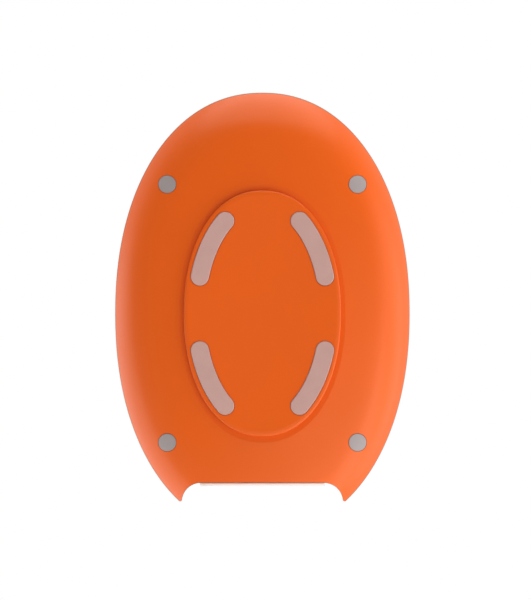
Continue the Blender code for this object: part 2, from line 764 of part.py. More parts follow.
def make_base_screws(material, parent):
    """Countersunk screws, their heads flush with the floor of the pad pockets."""
    floor = PAD_PROUD + PAD_POCKET_DEPTH
    for place, point in base_screw_places():
        shank = BASE_SCREW_RADIUS
        profile = [
            (RECESS_RADIUS / 2, floor + RECESS_DEPTH),
            (RECESS_RADIUS, floor + SEAT_GAP),
            (BASE_SCREW_HEAD_RADIUS, floor + SEAT_GAP),
            (shank, floor + SEAT_GAP + BASE_SCREW_HEAD_HEIGHT),
            (shank, floor + BASE_SCREW_LENGTH - shank),
            (shank / 4, floor + BASE_SCREW_LENGTH),
        ]
        add_object(f"base_screw_{place}", [turned(point, profile, SCREW_SEGMENTS)], material, parent=parent)


def main():
    clear_scene()
    horn_reach = -min(y for _, y in outline(1.0))
    centre = bpy.data.objects.new("base_centre", None)
    centre.location = (0, (horn_reach - HEAD_REACH) / 2, 0)
    bpy.context.scene.collection.objects.link(centre)

    orange = plastic("orange_shell", (0.745, 0.115, 0.016), 0.38)
    pale = plastic("pale_panel", (0.80, 0.76, 0.72), 0.45)
    materials = {
        "plug": plastic("grey_plug", (0.33, 0.29, 0.28), 0.60),
        "steel": plastic("steel", (0.60, 0.60, 0.62), 0.30, 1.0),
        "brass": plastic("brass", (0.70, 0.50, 0.22), 0.35, 1.0),
    }
    make_shell(orange, centre)
    make_panel(pale, centre)
    make_core(plastic("foam", (0.85, 0.84, 0.80), 0.90), centre)
    make_gasket(plastic("gasket", (0.10, 0.10, 0.11), 0.60), centre)
    make_base_plate(orange, centre)
    make_pads(plastic("silicone", (0.55, 0.33, 0.29), 0.55), centre)
    make_well_fittings(materials, centre)
    make_base_screws(materials["steel"], centre)


main()
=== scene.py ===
"""Looks for the oval scoop rescue board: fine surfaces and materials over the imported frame."""

import json
import math

import bmesh
import bpy
import numpy as np
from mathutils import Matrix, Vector


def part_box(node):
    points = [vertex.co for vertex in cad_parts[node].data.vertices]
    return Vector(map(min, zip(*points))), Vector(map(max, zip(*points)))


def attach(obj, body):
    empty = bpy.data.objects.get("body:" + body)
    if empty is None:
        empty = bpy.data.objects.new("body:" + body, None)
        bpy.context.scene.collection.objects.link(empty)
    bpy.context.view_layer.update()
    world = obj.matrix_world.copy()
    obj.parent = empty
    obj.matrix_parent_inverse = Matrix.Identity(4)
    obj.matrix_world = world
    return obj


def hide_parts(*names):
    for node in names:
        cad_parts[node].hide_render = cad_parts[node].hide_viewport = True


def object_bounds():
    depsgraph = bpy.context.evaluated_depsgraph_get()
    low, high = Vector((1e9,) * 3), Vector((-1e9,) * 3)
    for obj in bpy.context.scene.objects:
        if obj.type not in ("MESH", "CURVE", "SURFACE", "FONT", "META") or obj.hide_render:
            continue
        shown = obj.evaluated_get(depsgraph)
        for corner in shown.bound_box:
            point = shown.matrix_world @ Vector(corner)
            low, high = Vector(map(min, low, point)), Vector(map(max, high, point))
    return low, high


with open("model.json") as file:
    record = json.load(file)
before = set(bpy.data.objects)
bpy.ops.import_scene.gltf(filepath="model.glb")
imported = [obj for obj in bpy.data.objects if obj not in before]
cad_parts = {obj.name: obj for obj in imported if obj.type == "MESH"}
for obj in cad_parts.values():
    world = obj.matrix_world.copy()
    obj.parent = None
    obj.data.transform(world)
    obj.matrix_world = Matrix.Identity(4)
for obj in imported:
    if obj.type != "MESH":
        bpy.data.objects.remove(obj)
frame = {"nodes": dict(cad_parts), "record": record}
cad_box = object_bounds()

# ---- Sizes ----
#
# The overall sizes come from the frame. The rest repeat the part's own driving sizes, except the lip, its
# skirt and the bores' clearance, which are eased a little so that fine surfaces meet without a dark line.

plate_low, plate_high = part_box("base_plate")
_, shell_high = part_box("lower_shell")
plug_low, plug_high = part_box("screw_plug_head_left")
_, washer_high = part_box("washer_head_left")
insert_low, insert_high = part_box("threaded_insert_head_left")

CENTRE_Y = (plate_low.y + plate_high.y) / 2
BASE_HALF_WIDTH = plate_high.x
BASE_HALF_LENGTH = (plate_high.y - plate_low.y) / 2
HALF_WIDTH = shell_high.x
HEAD_REACH = shell_high.y - CENTRE_Y
PLATE_FACE = plate_low.z
PLATE_TOP = plate_high.z
RIM_HEIGHT = shell_high.z
PLUG_RADIUS = (plug_high.x - plug_low.x) / 2
PLUG_X = (plug_high.x + plug_low.x) / 2
PLUG_Y = (plug_high.y + plug_low.y) / 2 - CENTRE_Y

OUTLINE_POWER = 2.15
MOUTH_REACH = 0.2328
MOUTH_HALF_WIDTH = 0.1106
MOUTH_CORNER_RADIUS = 0.0261
HORN_TIP_RADIUS = 0.0025
BASE_CROWN_WIDTH = 0.0075
BASE_CROWN_DROP = 0.0007
BASE_EDGE_WIDTH = 0.0012
PAD_WIDTH = 0.0250
PAD_SIDE_MARGIN = 0.0045
PAD_END_MARGIN = 0.0028
PAD_START_ANGLE = math.radians(19.3)
PAD_END_ANGLE = math.radians(55.8)
PAD_POCKET_DEPTH = 0.0025
PAD_SIDE_CLEARANCE = 0.0005
RIM_LAND = 0.0012
SHELL_WALL = 0.0032
PANEL_WALL = 0.0030
LEDGE_LEVEL = 0.065
SHELL_STRAIGHT_SHARE = 0.30
SHELL_BEND_POWER = 5
PANEL_STRAIGHT_SHARE = 0.45
PANEL_BEND_POWER = 6
PANEL_SINK = 0.0003
SKIRT_WALL = 0.0044
SKIRT_CLEARANCE = 0.0014
LIP_OVERHANG = 0.0045
LIP_RISE = 0.0002
LIP_HALF_WIDTH = 0.0862
LIP_FADE = 0.0010
MOUTH_EDGE_INSET = 0.0012
GASKET_WIDTH = 0.0026
GASKET_DEPTH = 0.0028
GASKET_CLEARANCE = 0.0006
SEAT_GAP = 0.0003
BORE_CLEARANCE = 0.0005
WELL_WALL = 0.0020
WELL_FLOOR = 0.0027
SCREW_HOLE_RADIUS = 0.0028
INSERT_RADIUS = 0.0038
BOSS_WALL = 0.0030
BASE_SCREW_HOLE_RADIUS = 0.0022
BASE_SCREW_HEAD_HEIGHT = 0.0022
HEAD_CLEARANCE = 0.0004

SHELL_EDGE_RADIUS = 0.0006
PANEL_EDGE_RADIUS = 0.0007
GASKET_EDGE_RADIUS = 0.0006
POCKET_EDGE_RADIUS = 0.0004
PAD_EDGE_RADIUS = 0.0010
PLUG_EDGE_RADIUS = 0.0005

# Width of the painted shade line along the rim and mouth edges.
EDGE_SHADE_WIDTH = 0.0008
# Heights where the painted bounce light on the panel's low edge is full and where it is gone.
LIP_BOUNCE_LIGHT_FULL = 0.022
LIP_BOUNCE_LIGHT_GONE = 0.034

# The sky's brightness at shares of the way from straight down to straight up.
SKY = ((0.0, 0.2), (0.25, 0.3), (0.5, 0.6), (0.62, 0.9), (0.975, 0.9), (0.99, 1.0))
FLOOR_SIZE = 40
FLOOR_DROP = 0.0002
STAND_OFF = 3
VIEW_TO_LENGTH = 1.4674
VIEW_ASIDE = 0.00426
VIEW_ALONG = 0.00398

QUARTERS = (("head_left", 1, 1), ("head_right", -1, 1), ("mouth_left", 1, -1), ("mouth_right", -1, -1))
RIM_STEPS = 96
TIP_STEPS = 8
CORNER_STEPS = 16
EDGE_STEPS = 40
GUIDE_ANGLES = tuple(math.radians(a) for a in (90, -32, -36, -58, -90))
GUIDE_LEVEL = 0.30

SHELL_UNDERSIDE = PLATE_TOP + SEAT_GAP
RIM_RUN = HALF_WIDTH - BASE_HALF_WIDTH
SHELL_RISE = RIM_HEIGHT - RIM_LAND - SHELL_UNDERSIDE


# ---- Outline ----


def level_axes(level):
    """Half width and half length of the oval at a level: 0 is the base plate's outline, 1 the rim."""
    return (
        BASE_HALF_WIDTH + level * (HALF_WIDTH - BASE_HALF_WIDTH),
        BASE_HALF_LENGTH + level * (HEAD_REACH - BASE_HALF_LENGTH),
    )


def oval_point(axes, angle):
    power = 2 / OUTLINE_POWER
    c, s = math.cos(angle), math.sin(angle)
    return Vector((axes[0] * math.copysign(abs(c) ** power, c), axes[1] * math.copysign(abs(s) ** power, s)))


def oval_normal(axes, point):
    steep = OUTLINE_POWER - 1
    across = math.copysign((abs(point.x) / axes[0]) ** steep / axes[0], point.x)
    along = math.copysign((abs(point.y) / axes[1]) ** steep / axes[1], point.y)
    return Vector((across, along)).normalized()


def level_of(x, y):
    """The level whose oval passes through each point; every height on the board follows from it."""
    low = np.full(np.shape(x), -0.9)
    high = np.full(np.shape(x), 1.5)
    for _ in range(44):
        middle = (low + high) / 2
        half_width, half_length = level_axes(middle)
        outside = (np.abs(x) / half_width) ** OUTLINE_POWER + (np.abs(y) / half_length) ** OUTLINE_POWER > 1
        low = np.where(outside, middle, low)
        high = np.where(outside, high, middle)
    return (low + high) / 2


def horn_fillet(axes, reach, half_width, radius):
    """Centre of the round tip between oval and mouth corner, and the oval's angle where the tip starts."""

    def spare(angle):
        foot = oval_point(axes, angle)
        centre = foot - oval_normal(axes, foot) * HORN_TIP_RADIUS
        aside = centre.x - (half_width - radius)
        above = centre.y + reach + radius
        gap = math.hypot(aside, above) - radius if above > 0 else centre.x - half_width
        return gap - HORN_TIP_RADIUS, centre

    near, far = math.radians(-20), math.radians(-85)
    for _ in range(50):
        middle = (near + far) / 2
        if spare(middle)[0] > 0:
            near = middle
        else:
            far = middle
    return spare(near)[1], near


def lip_window(across):
    share = min(max((LIP_HALF_WIDTH - abs(across)) / LIP_FADE, 0.0), 1.0)
    return share * share * (3 - 2 * share)


def outline(level, mouth_inset=0.0, lip=0.0):
    """Loop at a level, with the mouth cut out of it; lip pushes the mouth's straight edge outwards."""
    axes = level_axes(level)
    reach = MOUTH_REACH - mouth_inset
    half_width = MOUTH_HALF_WIDTH + mouth_inset
    radius = MOUTH_CORNER_RADIUS + mouth_inset
    corner = Vector((half_width - radius, -reach - radius))
    tip, tip_angle = horn_fillet(axes, reach, half_width, radius)

    half = [oval_point(axes, a) for a in np.linspace(math.radians(90), tip_angle, RIM_STEPS + 1)]
    start = half[-1] - tip
    end = corner - tip
    first, last = math.atan2(start.y, start.x), math.atan2(end.y, end.x)
    if last > first:
        last -= math.tau
    for angle in np.linspace(first, last, TIP_STEPS + 1)[1:]:
        half.append(tip + Vector((math.cos(angle), math.sin(angle))) * HORN_TIP_RADIUS)
    foot = math.atan2(-end.y, -end.x)
    lip_turn = math.pi / 2 - (LIP_HALF_WIDTH - corner.x) / radius
    turns = list(np.linspace(foot, lip_turn, CORNER_STEPS - 4)[1:])
    turns += list(np.linspace(lip_turn, math.radians(90), 6)[1:])
    for angle in turns:
        spot = corner + Vector((math.cos(angle), math.sin(angle))) * radius
        half.append(spot - Vector((0, lip * lip_window(spot.x))))
    for across in np.linspace(corner.x, 0, EDGE_STEPS + 1)[1:]:
        half.append(Vector((across, -reach - lip * lip_window(across))))
    return mirrored(half)


def mirrored(half):
    loop = [(p.x, p.y) for p in half] + [(-p.x, p.y) for p in reversed(half[1:-1])]
    return np.array(loop)


def guide_ring(level):
    """Whole oval with as many points as an outline, so the two can be lofted together."""
    axes = level_axes(level)
    steps = (RIM_STEPS, TIP_STEPS, CORNER_STEPS, EDGE_STEPS)
    half = [oval_point(axes, GUIDE_ANGLES[0])]
    for first, last, count in zip(GUIDE_ANGLES, GUIDE_ANGLES[1:], steps):
        half += [oval_point(axes, a) for a in np.linspace(first, last, count + 1)[1:]]
    half[-1].x = 0.0
    half[0].x = 0.0
    return mirrored(half)


def between(inner, outer, share):
    return inner * (1 - share) + outer * share


# ---- Heights ----


def dish_rise(level, straight_share, bend_power, ledge=0.0):
    run = np.clip((level - ledge) / (1 - ledge), 0, None)
    return straight_share * run + (1 - straight_share) * run**bend_power


def shell_bottom(x, y):
    return SHELL_UNDERSIDE + SHELL_RISE * dish_rise(
        level_of(x, y), SHELL_STRAIGHT_SHARE, SHELL_BEND_POWER, LEDGE_LEVEL
    )


def offset_profile(rise, straight_share, bend_power, wall, ledge=0.0):
    """Levels and heights of the face one wall away from a dished face."""
    level = np.linspace(0, 1, 601)
    height = rise * dish_rise(level, straight_share, bend_power, ledge)
    slope = np.gradient(height, level * RIM_RUN)
    length = np.sqrt(1 + slope**2)
    return level - wall * slope / length / RIM_RUN, height + wall / length


SHELL_INSIDE = offset_profile(SHELL_RISE, SHELL_STRAIGHT_SHARE, SHELL_BEND_POWER, SHELL_WALL, LEDGE_LEVEL)
RIM_INSIDE_LEVEL = float(SHELL_INSIDE[0][-1])
GASKET_OUTER_LEVEL = RIM_INSIDE_LEVEL - GASKET_CLEARANCE / RIM_RUN
GASKET_FOOT = RIM_HEIGHT - GASKET_DEPTH - GASKET_CLEARANCE - SHELL_UNDERSIDE
GASKET_FOOT_LEVEL = float(np.interp(GASKET_FOOT, SHELL_INSIDE[1], SHELL_INSIDE[0]))
GASKET_FOOT_LEVEL -= GASKET_CLEARANCE / RIM_RUN
GASKET_INNER_LEVEL = GASKET_OUTER_LEVEL - GASKET_WIDTH / RIM_RUN
PANEL_LEVEL = GASKET_INNER_LEVEL - SEAT_GAP / RIM_RUN

PANEL_EDGE_HEIGHT = RIM_HEIGHT - PANEL_SINK
DISH_FLOOR = [m for m in frame["record"]["mounts"] if m["name"] == "dish_floor"][0]["pos_m"][2]
PANEL_EDGE_SHARE = float(dish_rise(PANEL_LEVEL, PANEL_STRAIGHT_SHARE, PANEL_BEND_POWER))
PANEL_RISE = (PANEL_EDGE_HEIGHT - DISH_FLOOR) / PANEL_EDGE_SHARE
PANEL_UNDERSIDE = offset_profile(PANEL_RISE, PANEL_STRAIGHT_SHARE, PANEL_BEND_POWER, -PANEL_WALL)


def shell_top(x, y):
    level = level_of(x, y)
    height = SHELL_UNDERSIDE + np.interp(level, *SHELL_INSIDE)
    return np.where(level >= RIM_INSIDE_LEVEL - 1e-6, RIM_HEIGHT, height)


def panel_top(x, y):
    return DISH_FLOOR + PANEL_RISE * dish_rise(level_of(x, y), PANEL_STRAIGHT_SHARE, PANEL_BEND_POWER)


def panel_bottom(x, y):
    return DISH_FLOOR + np.interp(level_of(x, y), *PANEL_UNDERSIDE)


def raised(loop, face, lift=0.0):
    """The loop in the shared frame, laid on a face or at a height."""
    x, y = loop[:, 0], loop[:, 1]
    z = face(x, y) if callable(face) else np.full(len(x), face)
    return np.column_stack([x, y + CENTRE_Y, z + lift])


def height_at(face, x, y):
    return float(face(np.array([x]), np.array([y]))[0])


# ---- Mesh helpers ----


def lofted(stack):
    """Vertices and faces of a stack of equal loops: quads between the loops, and one face over each end."""
    count, rows = len(stack[0]), len(stack)
    verts = [tuple(p) for loop in stack for p in loop]
    faces = []
    for row in range(rows - 1):
        a, b = row * count, (row + 1) * count
        for k in range(count):
            n = (k + 1) % count
            faces.append((a + k, a + n, b + n, b + k))
    faces.append(tuple(reversed(range(count))))
    faces.append(tuple(range((rows - 1) * count, rows * count)))
    return verts, faces


def smoothed(mesh, angle):
    mesh.shade_smooth()
    mesh.set_sharp_from_angle(angle=math.radians(angle))


def piece(name, stacks, angle=30):
    bm = bmesh.new()
    for stack in stacks:
        verts, faces = lofted(stack)
        made = [bm.verts.new(v) for v in verts]
        for f in faces:
            bm.faces.new([made[i] for i in f])
    bmesh.ops.recalc_face_normals(bm, faces=bm.faces)
    mesh = bpy.data.meshes.new(name)
    bm.to_mesh(mesh)
    bm.free()
    made = bpy.data.objects.new(name, mesh)
    bpy.context.scene.collection.objects.link(made)
    smoothed(mesh, angle)
    return made


def carve(target, other, operation):
    """Joins or cuts with a helper shape. Cutters run a little past the solid, so no face lies on another."""
    modifier = target.modifiers.new(other.name, "BOOLEAN")
    modifier.operation = operation
    modifier.object = other
    modifier.solver = "EXACT"


def settle(target, *helpers, angle=30):
    """Applies the piece's modifiers and removes the helper shapes."""
    evaluated = target.evaluated_get(bpy.context.evaluated_depsgraph_get())
    mesh = bpy.data.meshes.new_from_object(evaluated)
    target.modifiers.clear()
    target.data = mesh
    for other in helpers:
        bpy.data.objects.remove(other)
    smoothed(mesh, angle)


def circle(x, y, radius, height, segments=96):
    a = np.linspace(0, math.tau, segments, endpoint=False)
    px, py = x + radius * np.cos(a), y + radius * np.sin(a)
    z = height(px, py) if callable(height) else np.full(segments, height)
    return np.column_stack([px, py + CENTRE_Y, z])


def turned(x, y, profile, segments=96):
    return [circle(x, y, r, h, segments) for r, h in profile]


# ---- Pieces ----


def fine_normals(target, face, tolerance=2e-5):
    """Gives corners on an analytic face that face's own normals, so holes cut in it leave no dents."""
    mesh = target.data
    count = len(mesh.vertices)
    places = np.empty(count * 3)
    mesh.vertices.foreach_get("co", places)
    places = places.reshape(-1, 3)
    x, y = places[:, 0], places[:, 1] - CENTRE_Y
    on_face = np.abs(face(x, y) - places[:, 2]) < tolerance
    step = 5e-5
    across = (face(x + step, y) - face(x - step, y)) / (2 * step)
    along = (face(x, y + step) - face(x, y - step)) / (2 * step)
    normal = np.column_stack([across, along, -np.ones(count)])
    normal /= np.linalg.norm(normal, axis=1)[:, None]
    normals = np.zeros((len(mesh.loops), 3))
    for polygon in mesh.polygons:
        indices = list(polygon.vertices)
        if all(on_face[indices]) and polygon.normal.z < 0:
            for loop in polygon.loop_indices:
                normals[loop] = normal[mesh.loops[loop].vertex_index]
    mesh.normals_split_custom_set(normals.tolist())


def make_shell():
    rim = outline(1.0)
    inner_rim = outline(RIM_INSIDE_LEVEL, mouth_inset=SEAT_GAP)
    guide = guide_ring(GUIDE_LEVEL)
    ledge = [LEDGE_LEVEL + d for d in (-0.008, -0.003, 0.003, 0.008)]
    flat = [0.0, 0.02, 0.04] + ledge + [0.1, 0.15, 0.2, 0.25]
    outer = 1 - (1 - np.linspace(0, 1, 34)) ** 1.6
    inner = 1 - (1 - np.linspace(0, 1, 20)) ** 1.5
    soft = SHELL_EDGE_RADIUS
    stack = [raised(guide_ring(v), shell_bottom) for v in flat]
    stack += [raised(between(guide, rim, share), shell_bottom) for share in outer[:-1]]
    stack += [
        raised(outline(1.0 - 0.35 * soft / RIM_RUN, soft), shell_bottom),
        raised(rim, shell_bottom, soft),
        raised(rim, shell_top, -soft),
        raised(outline(1.0 - soft / RIM_RUN, soft), shell_top),
        raised(inner_rim, shell_top),
    ]
    stack += [raised(between(guide, inner_rim, share), shell_top) for share in reversed(inner[1:-1])]
    stack += [raised(guide_ring(v), shell_top) for v in (0.3, 0.2, 0.1, 0.05, 0.0)]
    shell = piece("orange_lower_shell", [stack])

    wells, bores = [], []
    for _, across, along in QUARTERS:
        x, y = across * PLUG_X, along * PLUG_Y
        height = height_at(shell_bottom, x, y)
        bore = PLUG_RADIUS + BORE_CLEARANCE
        floor = washer_high.z + SEAT_GAP
        wells.append(
            [
                circle(x, y, bore + WELL_WALL, lambda u, v: shell_bottom(u, v) + SHELL_WALL / 2),
                circle(x, y, bore + WELL_WALL, floor + WELL_FLOOR),
            ]
        )
        through = [(SCREW_HOLE_RADIUS, floor), (SCREW_HOLE_RADIUS, floor + 0.006)]
        bores.append(turned(x, y, [(bore, height - 0.01), (bore, floor), *through]))
    added = piece("wells", wells)
    cut = piece("bores", bores)
    carve(shell, added, "UNION")
    carve(shell, cut, "DIFFERENCE")
    settle(shell, added, cut, angle=32)
    fine_normals(shell, shell_bottom)
    return shell


def make_panel():
    stretch = MOUTH_EDGE_INSET + LIP_OVERHANG
    edge = outline(PANEL_LEVEL, MOUTH_EDGE_INSET, stretch)
    soft = PANEL_EDGE_RADIUS
    soft_edge = outline(PANEL_LEVEL - soft / RIM_RUN, MOUTH_EDGE_INSET + soft, stretch)
    inner_edge = outline(PANEL_LEVEL - SKIRT_WALL / RIM_RUN, MOUTH_EDGE_INSET + SKIRT_WALL, stretch)
    drafted = outline(PANEL_LEVEL - 1.4 * SKIRT_WALL / RIM_RUN, MOUTH_EDGE_INSET + 1.4 * SKIRT_WALL, stretch)
    guide = guide_ring(GUIDE_LEVEL)
    stack = [raised(guide_ring(v), panel_top) for v in (0.0, 0.03, 0.07, 0.11, 0.16, 0.21, 0.26)]
    outer = 1 - (1 - np.linspace(0, 1, 30)) ** 1.4
    stack += [raised(between(guide, soft_edge, share), panel_top) for share in outer]
    stack.append(raised(between(soft_edge, edge, 0.7), panel_top, -0.3 * soft))
    stack.append(raised(edge, panel_top, -soft))

    def skirt(loop, lift=0.0):
        """The loop as the skirt's foot, lowered to the shell's edge where it is the lip past the mouth."""
        points = raised(loop, shell_top, SKIRT_CLEARANCE + lift)
        x, y = loop[:, 0], loop[:, 1]
        past = (y < -MOUTH_REACH + SKIRT_WALL) & (np.abs(x) <= LIP_HALF_WIDTH - LIP_FADE + 1e-6)
        low = shell_bottom(x, np.full(len(x), -MOUTH_REACH)) + LIP_RISE + lift
        points[:, 2] = np.where(past, low, points[:, 2])
        return points

    stack += [
        skirt(edge, soft),
        skirt(between(edge, inner_edge, 0.2)),
        skirt(between(edge, inner_edge, 0.8)),
        skirt(inner_edge, soft),
        raised(drafted, panel_bottom),
    ]
    under = (0.9, 0.8, 0.65, 0.5, 0.3, 0.15)
    stack += [raised(between(guide, drafted, share), panel_bottom) for share in under]
    stack += [raised(guide_ring(v), panel_bottom) for v in (0.3, 0.15, 0.0)]
    panel = piece("pale_upper_panel", [stack])
    seat = INSERT_RADIUS + SEAT_GAP
    foot = insert_low.z - SEAT_GAP
    bosses, bores = [], []
    for _, across, along in QUARTERS:
        x, y = across * PLUG_X, along * PLUG_Y
        middle = height_at(panel_top, x, y) - PANEL_WALL / 2
        bosses.append(turned(x, y, [(seat + BOSS_WALL, foot), (seat + BOSS_WALL, middle)], 48))
        bores.append(turned(x, y, [(seat, foot - 0.003), (seat, insert_high.z + SEAT_GAP)], 48))
    added = piece("bosses", bosses)
    cut = piece("boss_bores", bores)
    carve(panel, added, "UNION")
    carve(panel, cut, "DIFFERENCE")
    settle(panel, added, cut, angle=32)
    return panel


def make_gasket():
    top = RIM_HEIGHT - 2 * PANEL_SINK
    bottom = RIM_HEIGHT - GASKET_DEPTH
    bead = GASKET_EDGE_RADIUS
    inner, outer, foot = GASKET_INNER_LEVEL, GASKET_OUTER_LEVEL, GASKET_FOOT_LEVEL
    corners = [
        raised(outline(inner), top - bead),
        raised(outline(inner + 0.3 * bead / RIM_RUN), top - 0.3 * bead),
        raised(outline(inner + bead / RIM_RUN), top),
        raised(outline(outer - bead / RIM_RUN), top),
        raised(outline(outer - 0.3 * bead / RIM_RUN), top - 0.3 * bead),
        raised(outline(outer), top - bead),
        raised(outline(foot), bottom),
        raised(outline(inner), bottom),
    ]
    count = len(corners[0])
    run = [k % count for k in range(-RIM_STEPS, RIM_STEPS + 1)]
    return piece("black_rim_gasket", [[np.array([corner[k] for corner in corners]) for k in run]], angle=40)


def plate_loop(inset, height, segments=288):
    axes = (BASE_HALF_WIDTH - inset, BASE_HALF_LENGTH - inset)
    points = [oval_point(axes, math.tau * k / segments) for k in range(segments)]
    return np.array([(p.x, p.y + CENTRE_Y, height) for p in points])


def pad_track(share):
    half_width = BASE_HALF_WIDTH - PAD_SIDE_MARGIN - PAD_WIDTH / 2
    half_length = BASE_HALF_LENGTH - PAD_END_MARGIN - PAD_WIDTH / 2
    angle = PAD_START_ANGLE + share * (PAD_END_ANGLE - PAD_START_ANGLE)
    point = Vector((half_width * math.cos(angle), half_length * math.sin(angle)))
    normal = Vector((half_length * math.cos(angle), half_width * math.sin(angle))).normalized()
    return point, normal


def pad_loop(half_width, height, across, along, steps=36, cap_steps=28):
    track = [pad_track(k / steps) for k in range(steps + 1)]
    loop = [point + normal * half_width for point, normal in track]
    for (point, normal), way in ((track[-1], 1), (track[0], -1)):
        start = math.atan2(normal.y, normal.x) + (0 if way > 0 else math.pi)
        cap = [start + math.pi * k / cap_steps for k in range(1, cap_steps)]
        loop += [point + Vector((math.cos(a), math.sin(a))) * half_width for a in cap]
        if way > 0:
            loop += [p - n * half_width for p, n in reversed(track)]
    return np.array([(across * p.x, along * p.y + CENTRE_Y, height) for p in loop])


def crown_drop(inset):
    """How far the base plate's face falls back at a distance from its edge."""
    run = BASE_CROWN_WIDTH - BASE_EDGE_WIDTH
    return BASE_CROWN_DROP * (np.clip(BASE_CROWN_WIDTH - inset, 0, run) / run) ** 2


def plate_face(x, y):
    """Height of the base plate's crowned face, out to where its rounded corner starts."""
    low = np.full(np.shape(x), -0.001)
    high = np.full(np.shape(x), BASE_CROWN_WIDTH + 0.001)
    for _ in range(30):
        middle = (low + high) / 2
        across = np.abs(x) / (BASE_HALF_WIDTH - middle)
        along = np.abs(y) / (BASE_HALF_LENGTH - middle)
        inside = across**OUTLINE_POWER + along**OUTLINE_POWER < 1
        low = np.where(inside, middle, low)
        high = np.where(inside, high, middle)
    inset = (low + high) / 2
    return np.where(inset > BASE_EDGE_WIDTH - 1e-5, PLATE_FACE + crown_drop(inset), PLATE_TOP)


def make_base_plate():
    crown = np.linspace(BASE_CROWN_WIDTH, BASE_EDGE_WIDTH, 11)[:-1]
    stack = [plate_loop(inset, PLATE_FACE + float(crown_drop(inset))) for inset in crown]
    tilt = math.atan(2 * BASE_CROWN_DROP / (BASE_CROWN_WIDTH - BASE_EDGE_WIDTH))
    radius = BASE_EDGE_WIDTH / (1 - math.sin(tilt))
    for turn in np.linspace(tilt, math.pi / 2, 9):
        inset = BASE_EDGE_WIDTH - radius * (math.sin(turn) - math.sin(tilt))
        drop = BASE_CROWN_DROP + radius * (math.cos(tilt) - math.cos(turn))
        stack.append(plate_loop(inset, PLATE_FACE + drop))
    stack.append(plate_loop(0.0, PLATE_TOP))
    plate = piece("orange_base_plate", [stack], angle=35)
    floor = PLATE_FACE + PAD_POCKET_DEPTH
    pocket = PAD_WIDTH / 2 + PAD_SIDE_CLEARANCE
    soft = POCKET_EDGE_RADIUS
    pockets = [
        [
            pad_loop(pocket + soft + 0.001, PLATE_FACE - 0.001, a, b),
            pad_loop(pocket + soft, PLATE_FACE, a, b),
            pad_loop(pocket + 0.3 * soft, PLATE_FACE + 0.3 * soft, a, b),
            pad_loop(pocket, PLATE_FACE + soft, a, b),
            pad_loop(pocket, floor, a, b),
        ]
        for _, a, b in QUARTERS
    ]
    holes = []
    for node in sorted(frame["nodes"]):
        if node.startswith("base_screw"):
            low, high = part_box(node)
            x, y = (low.x + high.x) / 2, (low.y + high.y) / 2 - CENTRE_Y
            head = (high.x - low.x) / 2 + HEAD_CLEARANCE
            hole = BASE_SCREW_HOLE_RADIUS
            seat = floor + BASE_SCREW_HEAD_HEIGHT
            profile = [(head, floor - 0.001), (head, floor), (hole, seat), (hole, 0.02)]
            holes.append(turned(x, y, profile, 48))
    cut = piece("pockets", pockets)
    drilled = piece("drilled", holes)
    carve(plate, cut, "DIFFERENCE")
    carve(plate, drilled, "DIFFERENCE")
    settle(plate, cut, drilled, angle=35)
    fine_normals(plate, plate_face)
    return plate


def make_pads():
    pads = []
    for quarter, a, b in QUARTERS:
        low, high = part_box(f"grip_pad_{quarter}")
        half = PAD_WIDTH / 2
        edge = PAD_EDGE_RADIUS
        stack = [pad_loop(half - 2.5 * edge, low.z, a, b)]
        for k in range(6):
            turn = math.pi / 2 * k / 5
            inset, lift = edge * (1 - math.sin(turn)), edge * (1 - math.cos(turn))
            stack.append(pad_loop(half - inset, low.z + lift, a, b))
        stack.append(pad_loop(half, high.z, a, b))
        pads.append((quarter, piece(f"silicone_pad_{quarter}", [stack], angle=50)))
    return pads


def make_plugs():
    plugs = []
    for quarter, across, along in QUARTERS:
        x, y = across * PLUG_X, along * PLUG_Y
        _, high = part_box(f"screw_plug_{quarter}")
        edge = PLUG_EDGE_RADIUS
        stack = [circle(x, y, PLUG_RADIUS * share, shell_bottom) for share in (0.1, 0.25, 0.5, 0.7, 0.85)]
        for turn in (0, 0.25, 0.5, 0.75, 1):
            angle = math.pi / 2 * turn
            radius = PLUG_RADIUS - edge * (1 - math.sin(angle))
            lift = edge * (1 - math.cos(angle))
            stack.append(circle(x, y, radius, lambda u, v, lift=lift: shell_bottom(u, v) + lift))
        stack.append(circle(x, y, PLUG_RADIUS, high.z))
        plugs.append((quarter, piece(f"grey_plug_{quarter}", [stack], angle=50)))
    return plugs


# ---- Materials ----


